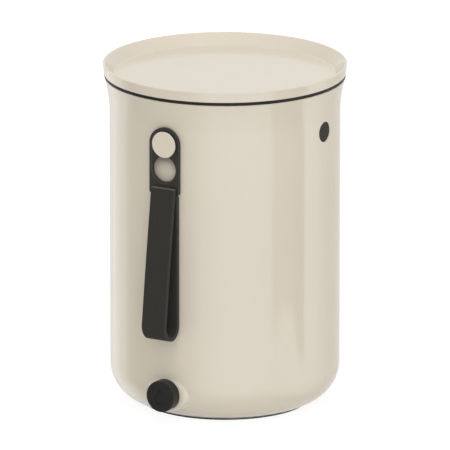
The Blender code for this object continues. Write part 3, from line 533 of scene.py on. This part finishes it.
def make_band():
    """The folded tape, with rounded edges and a fine groove along its sides."""
    path = band_path()
    drift = path[:, 2]
    path = path[:, :2]
    along = np.concatenate([[0], np.cumsum(np.linalg.norm(np.diff(path, axis=0), axis=1))])
    ahead = np.gradient(path, along, axis=0)
    ahead /= np.linalg.norm(ahead, axis=1)[:, None]
    aside = np.stack([-ahead[:, 1], ahead[:, 0]], axis=1)
    half_width = BAND_HALF_WIDTH
    half_thick = BAND_THICK / 2
    edge = BAND_EDGE
    groove = 0.0004
    section = [(half_width - edge, half_thick), (half_width, half_thick, edge)]
    section += [(half_width, groove), (half_width - 0.0003, 0), (half_width, -groove)]
    section += [(half_width, -half_thick, edge), (half_width - edge, -half_thick)]
    side = rounded(section, 5)
    face = [(u, half_thick) for u in np.linspace(-half_width + edge, half_width - edge, 24)[1:-1]]
    loop = face + side + [(-u, -t) for u, t in face] + [(-u, -t) for u, t in side]
    loop_u = np.array([point[0] for point in loop])
    loop_t = np.array([point[1] for point in loop])
    # The cut ends are rounded a little across the tape, and thinned to a lip
    corner = 0.0010
    from_end = np.minimum(along, along[-1] - along)
    close = np.clip(corner - from_end, 0, corner)
    narrow = corner - np.sqrt(corner**2 - close**2)
    lip = 0.0006
    near_end = np.clip(lip - from_end, 0, lip)
    thin = (lip - np.sqrt(lip**2 - near_end**2)) / half_thick
    points = []
    for k in range(len(path)):
        u = loop_u * (half_width - narrow[k]) / half_width + drift[k]
        t = loop_t * (1 - thin[k])
        out = path[k, 0] + aside[k, 0] * t
        up = path[k, 1] + aside[k, 1] * t
        points += [(a, -b, c) for a, b, c in zip(u, out, up)]
    mesh = grid_mesh("band", points, len(path), len(loop_u), False, True)
    layer = mesh.uv_layers.new(name="tape")
    for spot in mesh.loops:
        k, j = divmod(spot.vertex_index, len(loop_u))
        layer.data[spot.index].uv = (loop_u[j] + TAPE_OFFSET, along[k])
    close_ends(mesh)
    return new_object("band", mesh)


# Small fittings


def make_button(name, turn):
    """Mushroom head on a neck and a stem, with a blind hole for its screw."""
    face, back, stem_end, hole_end = 0.1112, 0.1101, 0.1037, 0.1094
    neck, stem, hole = 0.0050, 0.0040, 0.0017
    wall = wall_radius(BUTTON_Z) + 0.0002
    corners = [
        (0, face), (BUTTON_RADIUS, face, 0.0006), (BUTTON_RADIUS, back, 0.0004), (neck, back, 0.0003),
        (neck, wall), (stem, wall), (stem, stem_end), (hole, stem_end), (hole, hole_end), (0, hole_end),
    ]
    return revolve(name, rounded(corners), 96, turn=turn, height=BUTTON_Z - BUTTON_SAG)


def make_side_plug(name, turn):
    """Flat head on a stem, with a lip behind the wall's pad."""
    face = wall_radius(PLUG_Z) - PLUG_RECESS
    back = face - PLUG_THICK
    lip, end = 0.1023, 0.1013
    corners = [
        (0, face), (PLUG_RADIUS, face, 0.0004), (PLUG_RADIUS, back), (PLUG_STEM, back),
        (PLUG_STEM, lip), (0.0083, lip, 0.0002), (PLUG_STEM, end, 0.0002), (0, end),
    ]
    return revolve(name, rounded(corners), 96, turn=turn, height=PLUG_Z)


# The knob's points farther from its axis than this are its outer wall, which sits higher
KNOB_WALL_FROM = 0.0130


def make_knob():
    """Round cap of the tap, with a sunk drop mark and a port that a quarter turn brings down."""
    back, mouth, bore_radius, pin = 0.1072, 0.0120, 0.0099, 0.0030
    shoulder, bore_end, lip, lip_back, pin_end = 0.1090, 0.1154, 0.1133, 0.1127, 0.1117
    corners = [
        (0, KNOB_FACE), (KNOB_RADIUS, KNOB_FACE, 0.0008), (KNOB_RADIUS, back, 0.0003), (mouth, back),
        (mouth, shoulder), (bore_radius, shoulder), (bore_radius, bore_end), (pin, bore_end), (pin, lip),
        (0.0039, lip), (0.0039, lip_back), (pin, pin_end), (0, pin_end),
    ]
    knob = revolve("knob", rounded(corners), 128, turn=FRONT, height=TAP_Z)
    for point in knob.data.vertices:
        if math.hypot(point.co.x, point.co.z - TAP_Z) > KNOB_WALL_FROM:
            point.co.z += KNOB_Z - TAP_Z
    port_profile = [(0, 0.02), (0.0014, 0.02), (0.0014, 0.009), (0, 0.009)]
    port = revolve("port", port_profile, 32, turn=LEFT, height=TAP_Z)
    port.data.transform(Matrix.Translation((0, -0.1125, 0)))
    boolean(knob, port)
    drop_radius, drop_length, drop_tip, drop_centre = 0.0053, 0.0096, 0.0073, -0.0023
    tangent = math.degrees(math.acos(drop_radius / drop_length))
    drop = [(0, drop_tip), *arc((0, drop_centre), drop_radius, 90 + tangent, 450 - tangent, 56)]
    boolean(knob, fill_outline("drop", [drop], 0.0014, FRONT, KNOB_Z, KNOB_FACE))
    soften(knob, 0.00028)
    return knob


# Materials


class Look:
    """A Principled material and the few nodes that these looks share."""

    def __init__(self, name, roughness, **sockets):
        self.material = bpy.data.materials.new(name)
        self.material.use_nodes = True
        self.tree = self.material.node_tree
        self.surface = self.tree.nodes["Principled BSDF"]
        self.surface.inputs["Roughness"].default_value = roughness
        for socket, value in sockets.items():
            self.surface.inputs[socket.replace("_", " ")].default_value = value
        self.place = self.add("ShaderNodeTexCoord")

    def add(self, kind, settings=None, **inputs):
        """A node with its settings and inputs; an input named Input0 is the first one."""
        node = self.tree.nodes.new(kind)
        for key, value in (settings or {}).items():
            setattr(node, key, value)
        for key, value in inputs.items():
            self.set(node, key.replace("_", " "), value)
        return node

    def set(self, node, key, value):
        socket = node.inputs[int(key[5:])] if key.startswith("Input") else node.inputs[key]
        if isinstance(value, bpy.types.NodeSocket):
            self.tree.links.new(value, socket)
        else:
            socket.default_value = value

    def noise(self, scale, detail=3.0, roughness=0.55, vector=None):
        node = self.add("ShaderNodeTexNoise", Scale=scale, Detail=detail, Roughness=roughness)
        self.set(node, "Vector", vector or self.place.outputs["Object"])
        return node.outputs["Fac"]

    def stretched(self, scale, source="Object"):
        node = self.add("ShaderNodeMapping", Vector=self.place.outputs[source], Scale=scale)
        return node.outputs["Vector"]

    def spread(self, value, low, high, start=0.3, end=0.7, kind="LINEAR"):
        """A value from start to end, spread over low to high."""
        node = self.add("ShaderNodeMapRange", {"interpolation_type": kind}, Value=value)
        for key, number in (("From Min", start), ("From Max", end), ("To Min", low), ("To Max", high)):
            node.inputs[key].default_value = number
        return node.outputs["Result"]

    def blend(self, factor, first, second):
        node = self.add("ShaderNodeMix", {"data_type": "RGBA"})
        for socket, value in zip((node.inputs[0], node.inputs[6], node.inputs[7]), (factor, first, second)):
            if isinstance(value, bpy.types.NodeSocket):
                self.tree.links.new(value, socket)
            elif isinstance(value, tuple):
                socket.default_value = (*value, 1.0)
            else:
                socket.default_value = value
        return node.outputs[2]

    def maths(self, operation, first, second=0.0):
        node = self.add("ShaderNodeMath", {"operation": operation}, Input0=first, Input1=second)
        return node.outputs["Value"]

    def colour(self, value):
        self.set(self.surface, "Base Color", value)

    def rough(self, value):
        self.set(self.surface, "Roughness", value)

    def relief(self, layers):
        """Bump from (height, depth in metres) layers, one on the other."""
        normal = None
        for height, depth in layers:
            bump = self.add("ShaderNodeBump", Strength=1.0, Distance=depth, Height=height)
            if normal:
                self.set(bump, "Normal", normal)
            normal = bump.outputs["Normal"]
        self.set(self.surface, "Normal", normal)


CREAM_PALE = (0.675, 0.608, 0.500)
CREAM_WARM = (0.655, 0.590, 0.484)
CREAM_SPECK = (0.610, 0.553, 0.453)

# Painted shade on the wall behind the keyhole, driven by ambient occlusion: its middle, its inner and outer
# radius, reach and tone
KEYHOLE_SHADE_MIDDLE = (0, -0.1063, BUTTON_Z - HOLE_DROP)
KEYHOLE_SHADE_SPREAD = (0.0128, 0.0150)
KEYHOLE_SHADE_REACH = 0.020
KEYHOLE_SHADE_TONE = (0.130, 0.112, 0.088)


def cream_look(name, painted_light_lift=1.0, keyhole_shade=False):
    """Glossy cream, made paler where asked as painted light, and where asked painted shade on the wall
    behind the keyhole, deepest towards its top.
    """
    look = Look(name, 0.12)
    broad = look.noise(9.0, 2.0)
    fine = look.noise(240.0, 4.0)
    # Both tints scaled up as painted light, for surfaces such as the lid's top that face the light
    pale, warm = [tuple(painted_light_lift * part for part in tint) for tint in (CREAM_PALE, CREAM_WARM)]
    tone = look.blend(look.spread(broad, 0.0, 1.0), warm, pale)
    specks = look.spread(look.noise(2100.0, 2.0), 0.0, 0.25, 0.62, 0.80)
    tone = look.blend(specks, tone, CREAM_SPECK)
    if keyhole_shade:
        # Painted shade: occlusion, nearness to the keyhole and height blend the cream towards a dark tone
        around = look.add("ShaderNodeAmbientOcclusion", {"samples": 8}, Distance=KEYHOLE_SHADE_REACH)
        shut = look.spread(around.outputs["AO"], 1.0, 0.0, 0.92, 0.98)
        spot = look.place.outputs["Object"]
        height = look.add("ShaderNodeSeparateXYZ", Vector=spot).outputs["Z"]
        middle_z = KEYHOLE_SHADE_MIDDLE[2]
        depth = look.spread(height, 0.30, 0.76, middle_z - 0.0020, middle_z + 0.0085)
        shut = look.maths("MULTIPLY", shut, depth)
        away = look.add("ShaderNodeVectorMath", {"operation": "DISTANCE"}, Input0=spot, Input1=KEYHOLE_SHADE_MIDDLE)
        near = look.spread(away.outputs["Value"], 1.0, 0.0, *KEYHOLE_SHADE_SPREAD)
        tone = look.blend(look.maths("MULTIPLY", shut, near), tone, KEYHOLE_SHADE_TONE)
    look.colour(tone)
    look.rough(look.spread(fine, 0.09, 0.16))
    look.relief([(look.noise(30.0, 1.0), 0.00010), (look.noise(1500.0, 2.0), 0.000004)])
    return look.material


def rubber_look(name, gloss, dark, pale):
    """Near black with a warm sheen, of the given strength."""
    look = Look(name, 0.5, Specular_IOR_Level=gloss, Specular_Tint=(1.0, 0.92, 0.80, 1.0))
    fine = look.noise(1400.0, 3.0)
    look.colour(look.blend(look.noise(60.0, 3.0), dark, pale))
    look.rough(look.spread(fine, 0.42, 0.58))
    look.relief([(fine, 0.00002)])
    return look.material


def black_look():
    """Hard black plastic with a weak sheen."""
    look = Look("black_plastic", 0.45, Specular_IOR_Level=0.2)
    fine = look.noise(1800.0, 3.0)
    look.colour(look.blend(look.noise(80.0, 3.0), (0.018, 0.017, 0.015), (0.025, 0.024, 0.021)))
    look.rough(look.spread(fine, 0.40, 0.52))
    look.relief([(fine, 0.000015)])
    return look.material


def webbing_look():
    """Fine ribs across the tape, with looser threads, and a painted highlight along its edges and at its
    cut end.
    """
    look = Look("dark_webbing", 0.8, Specular_IOR_Level=0.2)
    tape = look.place.outputs["UV"]
    threads = look.noise(1.0, 3.0, 0.6, look.stretched((450.0, 1500.0, 1.0), "UV"))
    ribs = look.add(
        "ShaderNodeTexWave", {"wave_type": "BANDS", "bands_direction": "Y"},
        Vector=tape, Scale=330.0, Distortion=0.6, Detail=1.0,
    )
    parts = look.add("ShaderNodeSeparateXYZ", Vector=tape)
    across = look.maths("ABSOLUTE", look.maths("SUBTRACT", parts.outputs["X"], TAPE_OFFSET))
    line = look.maths("ABSOLUTE", look.maths("SUBTRACT", across, BAND_HALF_WIDTH))
    # Painted highlight: the colour turns paler near the tape's edges and at its cut end, where light
    # catches them
    edge = look.spread(line, 0.2, 0.0, 0.0003, 0.0006, "SMOOTHSTEP")
    tone = look.blend(look.spread(threads, 0.0, 1.0), (0.022, 0.021, 0.018), (0.040, 0.038, 0.033))
    cut = look.spread(parts.outputs["Y"], 1.0, 0.0, 0.0005, 0.0011)
    painted_highlight = look.maths("MAXIMUM", edge, cut)
    look.colour(look.blend(painted_highlight, tone, (0.110, 0.106, 0.095)))
    look.rough(look.spread(threads, 0.7, 0.9))
    look.relief([(ribs.outputs["Fac"], 0.00006), (threads, 0.0001)])
    return look.material


def grey_look():
    """Matt grey plastic of the strainer."""
    look = Look("grey_plastic", 0.45)
    fine = look.noise(700.0, 4.0)
    look.colour(look.blend(look.noise(25.0, 3.0), (0.285, 0.285, 0.268), (0.315, 0.313, 0.293)))
    look.rough(look.spread(fine, 0.38, 0.52))
    look.relief([(fine, 0.00003)])
    return look.material


def steel_look():
    """Steel of the screws, with streaks along them."""
    look = Look("stainless_steel", 0.3, Metallic=1.0)
    brushed = look.noise(1.0, 3.0, 0.6, look.stretched((200.0, 3000.0, 3000.0)))
    look.colour(look.blend(brushed, (0.55, 0.54, 0.52), (0.66, 0.65, 0.63)))
    look.rough(look.spread(brushed, 0.22, 0.38))
    look.relief([(brushed, 0.00001)])
    return look.material


# Stage

FLOOR_SIZE = 6
FLOOR_BOUNCE = (0.88, 0.88, 0.87)
FLOOR_SEEN = (0.18, 0.18, 0.18)
FLOOR_GLOW = (0.90, 0.90, 0.90, 1.0)


def white_floor():
    """Paper that bounces light like a pale floor, and is close to white where the camera sees it."""
    mesh = bpy.data.meshes.new("floor")
    corners = [(FLOOR_SIZE * x, FLOOR_SIZE * y, 0) for x, y in ((-1, -1), (1, -1), (1, 1), (-1, 1))]
    mesh.from_pydata(corners, [], [(0, 1, 2, 3)])
    floor = new_object("floor", mesh)
    look = Look("paper", 0.9, Specular_IOR_Level=0.0, Emission_Color=FLOOR_GLOW)
    seen = look.add("ShaderNodeLightPath").outputs["Is Camera Ray"]
    look.colour(look.blend(seen, FLOOR_BOUNCE, FLOOR_SEEN))
    look.set(look.surface, "Emission Strength", seen)
    mesh.materials.append(look.material)
    floor.visible_glossy = False


def card(name, corners, strength, colour):
    """A board seen only in the gloss of the object."""
    mesh = bpy.data.meshes.new(name)
    mesh.from_pydata(corners, [], [tuple(range(len(corners)))])
    board = new_object(name, mesh)
    look = Look(
        name, 0.5, Base_Color=(0, 0, 0, 1), Specular_IOR_Level=0.0,
        Emission_Color=(*colour, 1.0), Emission_Strength=strength,
    )
    look.material.cycles.emission_sampling = "NONE"
    mesh.materials.append(look.material)
    board.visible_camera = False
    board.visible_diffuse = False
    board.visible_shadow = False
    board.visible_transmission = False


# Outline of the dark figure that the wall mirrors to the right of its middle, legs down
FIGURE = [
    (0.381, -0.118, 0.0), (0.381, -0.118, 0.230), (0.368, 0.109, 0.230), (0.368, 0.109, -0.024),
    (0.372, 0.070, -0.024), (0.375, 0.010, 0.030), (0.378, -0.060, 0.030),
]

# The photo's view, in degrees and metres; its picture is 0.415 m wide at that distance
VIEW_AZIMUTH = 30.5
VIEW_ELEVATION = 15.0
VIEW_DISTANCE = 18.0
VIEW_HEIGHT = 0.165
VIEW_LENS = 1561.8


def aim(item, spot, target):
    """An item at a spot, turned to look at a target."""
    item.location = spot
    item.rotation_mode = "QUATERNION"
    item.rotation_quaternion = (Vector(target) - Vector(spot)).to_track_quat("-Z", "Y")


def toward(azimuth, elevation, distance):
    """A place round the object, where azimuth 0 is in front of it."""
    a, e = math.radians(azimuth), math.radians(elevation)
    flat = math.cos(e) * distance
    return (math.sin(a) * flat, -math.cos(a) * flat, VIEW_HEIGHT + math.sin(e) * distance)


def soft_lamp(name, azimuth, elevation, distance, size, power):
    """A round area lamp that leaves no spot in the gloss."""
    data = bpy.data.lights.new(name, "AREA")
    data.shape = "DISK"
    data.size = size
    data.energy = power
    lamp = new_object(name, data)
    aim(lamp, toward(azimuth, elevation, distance), (0, 0, 0.16))
    lamp.visible_glossy = False


# Soft panels seen in the gloss: (degrees from the camera, level, how much cooler than neutral)
PANELS = (
    (-180, 0.75, 0.0), (-160, 1.1, 0.0), (-146, 1.65, 0.0), (-122, 1.6, 0.02), (-110, 0.6, 0.05),
    (-98, 0.15, 0.1), (-52, 0.15, 0.2), (-36, 0.5, 0.2), (-12, 1.4, 0.17), (50, 1.4, 0.17), (88, 1.9, 0.05),
    (100, 1.8, 0.01), (116, 1.3, -0.04), (128, 1.0, -0.04), (145, 0.95, -0.04), (180, 0.9, -0.04),
)
PANEL_PEAK = 2.4

# Where an even sky takes the panels' place: (height of the direction, share of it)
EVEN_SKY = ((-1.0, 1.0), (-0.80, 1.0), (-0.50, 0.0), (0.02, 0.0), (0.20, 1.0), (1.0, 1.0))
EVEN_LEVEL = 0.95

# Light on the dull colours, in the same form: brightest round the camera, with a dark gap left of it
GLOW = (
    (-180, 0.6, 0.0), (-156, 0.8, 0.0), (-146, 1.35, 0.0), (-114, 1.35, 0.0), (-104, 0.5, 0.0),
    (-46, 0.45, 0.0), (-32, 0.8, 0.0), (-22, 1.8, 0.0), (30, 1.8, 0.0), (46, 0.7, 0.0), (84, 0.6, 0.0),
    (92, 0.7, 0.0), (120, 0.7, 0.0), (180, 0.6, 0.0),
)
GLOW_PEAK = 2.4
GLOW_LEVEL = 0.88


def studio_world():
    """White to the camera, an even light on the object, and soft panels in its gloss."""
    world = bpy.data.worlds.new("studio")
    bpy.context.scene.world = world
    world.use_nodes = True
    tree = world.node_tree
    tree.nodes.clear()

    def add(kind, **settings):
        node = tree.nodes.new(kind)
        for key, value in settings.items():
            setattr(node, key, value)
        return node

    place = add("ShaderNodeTexCoord")
    turn = add("ShaderNodeMapping")
    turn.inputs["Rotation"].default_value = (0, 0, math.radians(90 - VIEW_AZIMUTH))
    tree.links.new(place.outputs["Generated"], turn.inputs["Vector"])
    round_it = add("ShaderNodeTexGradient", gradient_type="RADIAL")
    tree.links.new(turn.outputs["Vector"], round_it.inputs["Vector"])

    def ramp(value, stops):
        """Colours eased from stop to stop, each a (place from 0 to 1, colour)."""
        node = add("ShaderNodeValToRGB")
        node.color_ramp.interpolation = "EASE"
        elements = node.color_ramp.elements
        while len(elements) < len(stops):
            elements.new(0.5)
        for element, (position, colour) in zip(elements, stops):
            element.position = position
            element.color = (*colour, 1)
        tree.links.new(value, node.inputs["Fac"])
        return node.outputs["Color"]

    def ring(table, peak):
        """A table's levels round the horizon, as shares of its peak."""
        stops = []
        for angle, level, cool in table:
            colour = (level * (1 - cool) / peak, level / peak, level * (1 + cool) / peak)
            stops.append(((angle + 180) / 360, colour))
        return ramp(round_it.outputs["Fac"], stops)

    def with_even_sky(colour):
        """A colour round the horizon that gives way to an even one above and below."""
        height = add("ShaderNodeSeparateXYZ")
        tree.links.new(place.outputs["Generated"], height.inputs["Vector"])
        part = add("ShaderNodeMapRange")
        part.inputs["From Min"].default_value = -1.0
        tree.links.new(height.outputs["Z"], part.inputs["Value"])
        mix = add("ShaderNodeMix", data_type="RGBA")
        stops = [((up + 1) / 2, (amount,) * 3) for up, amount in EVEN_SKY]
        tree.links.new(ramp(part.outputs["Result"], stops), mix.inputs[0])
        tree.links.new(colour, mix.inputs[6])
        level = EVEN_LEVEL / PANEL_PEAK
        mix.inputs[7].default_value = (level, level, level, 1)
        return mix.outputs[2]

    def background(strength, colour=None):
        """A light of one colour, white if none is given."""
        node = add("ShaderNodeBackground")
        node.inputs["Color"].default_value = (1, 1, 1, 1)
        node.inputs["Strength"].default_value = strength
        if colour:
            tree.links.new(colour, node.inputs["Color"])
        return node.outputs[0]

    def choose(ray, without, with_it):
        """One light for a kind of ray, and another one for the rest."""
        node = add("ShaderNodeMixShader")
        for socket, value in zip(node.inputs, (seen.outputs[ray], without, with_it)):
            tree.links.new(value, socket)
        return node.outputs[0]

    seen = add("ShaderNodeLightPath")
    glow = background(GLOW_PEAK * GLOW_LEVEL, ring(GLOW, GLOW_PEAK))
    panels = background(PANEL_PEAK, with_even_sky(ring(PANELS, PANEL_PEAK)))
    light = choose("Is Glossy Ray", glow, panels)
    out = add("ShaderNodeOutputWorld")
    tree.links.new(choose("Is Camera Ray", light, background(1.0)), out.inputs["Surface"])


def photo_camera():
    """The photo's view, from so far away that it shows hardly any perspective."""
    data = bpy.data.cameras.new("photo_camera")
    data.sensor_width = 36.0
    data.lens = VIEW_LENS
    data.clip_end = 50.0
    camera = new_object("photo_camera", data)
    aim(camera, toward(VIEW_AZIMUTH, VIEW_ELEVATION, VIEW_DISTANCE), (0, 0, VIEW_HEIGHT))
    bpy.context.scene.camera = camera


# Everything together

photo_camera()
studio_world()
white_floor()
soft_lamp("top", azimuth=36, elevation=70, distance=2.2, size=1.6, power=12.0)
card("figure", FIGURE, strength=0.33, colour=(1.0, 0.75, 0.5))

# A paler copy of the cream for the lid and buttons, as painted light on the lid's top
CREAM = cream_look("cream_plastic", painted_light_lift=1.03)
# The bucket's cream carries the painted shade behind the keyhole
CREAM_BODY = cream_look("cream_body", keyhole_shade=True)
RUBBER = rubber_look("black_rubber", 0.45, (0.025, 0.024, 0.020), (0.032, 0.030, 0.026))
DULL_RUBBER = rubber_look("dull_rubber", 0.15, (0.018, 0.018, 0.016), (0.024, 0.023, 0.021))
BLACK = black_look()
WEBBING = webbing_look()
GREY = grey_look()
STEEL = steel_look()

finish_piece(make_bucket(), "bin_body", "bin", CREAM_BODY)
finish_piece(make_foot_ring(), "foot_ring", "bin", RUBBER)
finish_piece(make_lid(), "lid", "lid", CREAM)
finish_piece(make_lid_seal(), "lid_seal", "lid", DULL_RUBBER)
finish_piece(make_strainer(), "strainer", "strainer", GREY)
for side, turn in (("front", FRONT), ("rear", REAR)):
    button = make_button(f"button_{side}", turn)
    finish_piece(button, f"{side}_button", "bin", CREAM)
for side, turn in (("right", RIGHT), ("left", LEFT)):
    plug = make_side_plug(f"plug_{side}", turn)
    finish_piece(plug, f"side_plug_{side}", "bin", DULL_RUBBER)
# Each plate's back, and the face that its pocket is sunk into
PLATES = {
    "front": (FRONT_PLATE_BACK, FRONT_PLATE_BACK + END_THICK),
    "rear": (REAR_PLATE_BACK, REAR_PLATE_BACK),
}
for side, (back, pocket_face) in PLATES.items():
    plate = make_strap_end(f"end_{side}", back, pocket_face)
    finish_piece(plate, f"strap_end_{side}", "strap", RUBBER)
finish_piece(make_band(), "strap_band", "strap", WEBBING)
finish_piece(make_knob(), "tap_knob", "tap_knob", BLACK)

# Pieces shown as the CAD model has them
KEPT = {
    "tap_housing": BLACK,
    "tap_nut": BLACK,
    "tap_outer_gasket": RUBBER,
    "tap_inner_gasket": RUBBER,
    "tap_o_ring": RUBBER,
    "front_button_washer": RUBBER,
    "rear_button_washer": RUBBER,
    "front_button_screw": STEEL,
    "rear_button_screw": STEEL,
}
for node, look in KEPT.items():
    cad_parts[node].material_slots[0].material = look

bpy.context.scene.view_settings.view_transform = "Standard"
